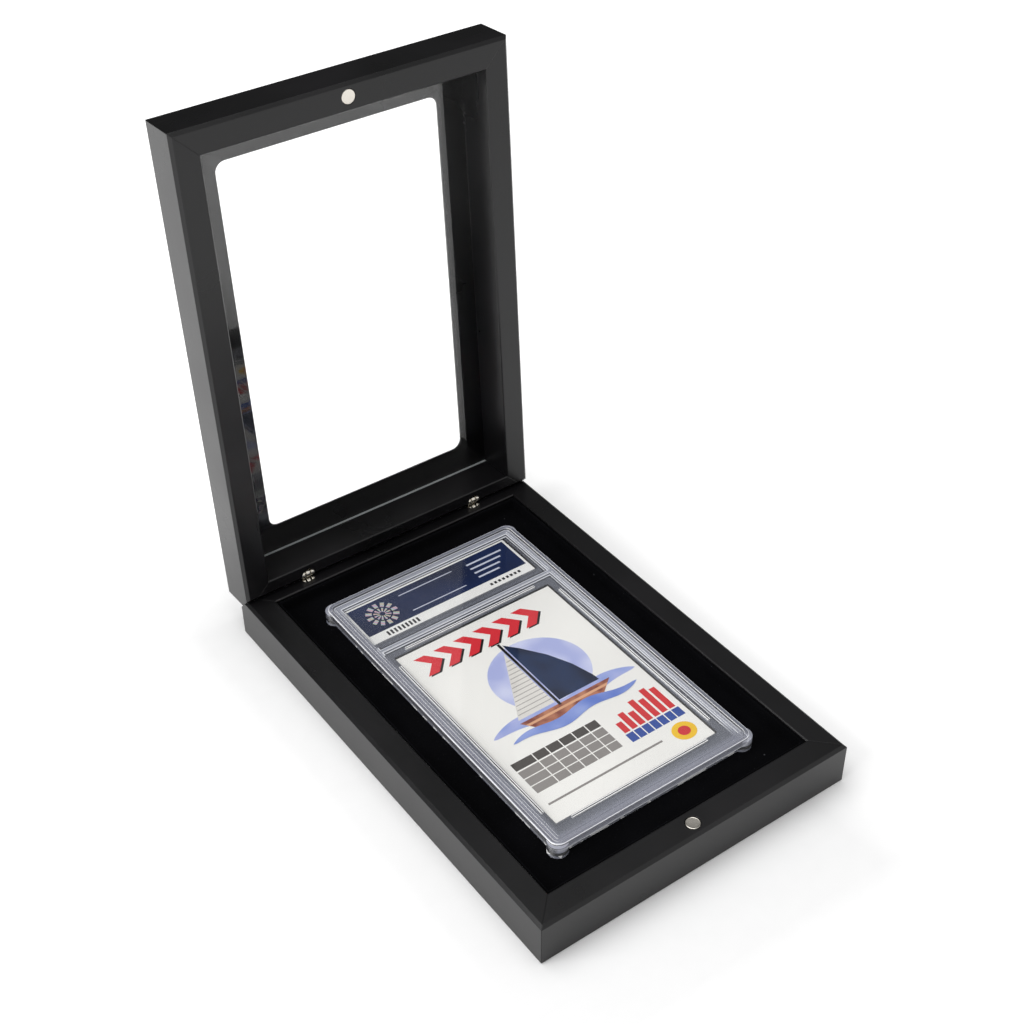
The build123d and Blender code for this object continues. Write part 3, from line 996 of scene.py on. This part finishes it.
dress(printed_paper("coated_card_board", card_white, patch=0.04, dullness=0.36), "trading_card")
chevron_rows = (("chevron_shadows", 1, 0.6, outline_black), ("chevrons", 2, 0.0, chevron_red))
for name, layer, slip, ink in chevron_rows:
    row = [chevron(-27.4 + chevron_pitch * i + slip, 31.0 - slip, 8.6, 9.6) for i in range(6)]
    card_print(name, layer, row, ink)
card_print("sun", 1, [round_shape(3.5, 11.0, 18.0, 16.5)], sun_lavender, sun_pale, 0.012)
far_wave = bent_band(-27.0, 30.5, -5.4, 1.5, 7.0, 1.5)
card_print("far_wave", 2, [far_wave], wave_pale, sun_lavender, 0.008)
card_print(
    "sail", 3,
    [[(0.9, -3.0), (0.9, 29.0), (4.8, 24.5), (10.5, 16.5), (14.6, 8.0), (16.9, 0.0), (17.3, -3.0)]],
    sail_navy, sail_deep, 0.009,
)
card_print("jib", 3, [[(-1.0, -3.0), (-1.0, 25.5), (-15.5, -3.0)]], sail_stripe)
stripes = [
    oblong(-14.2 + 0.95 * i, -1.2 + stripe_rise * i, -1.0, -0.9 + stripe_rise * i)
    for i in range(13)
]
card_print("jib_stripes", 4, stripes, stripe_grey)
card_print("mast", 4, [oblong(-0.6, -5.0, 0.4, 30.2)], outline_black)
hull = [(-16.0, -4.4), (-11.5, -10.0), (13.5, -10.0), (20.5, -4.4)]
card_print("hull", 4, [hull], hull_brown, hull_tan, 0.004)
card_print("hull_stripe", 5, [[(-14.8, -5.9), (-14.0, -6.9), (17.4, -6.9), (18.6, -5.9)]], sand_tan)
near_wave = bent_band(-23.0, 27.0, -10.6, 1.0, 4.4, 2.0)
card_print("near_wave", 6, [near_wave], wave_blue, wave_pale, 0.01)

bars = [
    oblong(8.6 + bar_pitch * i, chart_base, 10.9 + bar_pitch * i, chart_base + tall)
    for i, tall in enumerate(bar_heights)
]
gaps = [oblong(11.1 + bar_pitch * i, -32.0, 11.5 + bar_pitch * i, -28.1) for i in range(6)]
card_print("chart_bars", 1, bars, chart_red)
card_print("chart_foot", 1, [oblong(8.2, -32.0, 30.0, -28.1)], chart_blue)
card_print("chart_gaps", 2, gaps, card_white)

rows = [oblong(-29.0, -24.2 - row_pitch * i, 4.5, -21.0 - row_pitch * i) for i in range(3)]
columns = [
    oblong(-21.0 + column_pitch * i, -31.6, -20.6 + column_pitch * i, -17.0) for i in range(5)
]
card_print("table_head", 1, [oblong(-29.0, -20.4, 4.5, -17.0)], table_dark)
card_print("table_rows", 1, rows, table_grey)
card_print("table_lines", 2, columns, card_white)
card_print("foot_rule", 1, [oblong(-29.0, -37.4, 16.0, -36.6)], table_grey)
card_print("accent_ring", 1, [round_shape(24.6, -37.6, 4.3, 3.9)], accent_yellow)
card_print("accent_dot", 2, [round_shape(24.6, -37.6, 2.2, 2.0)], chart_red)
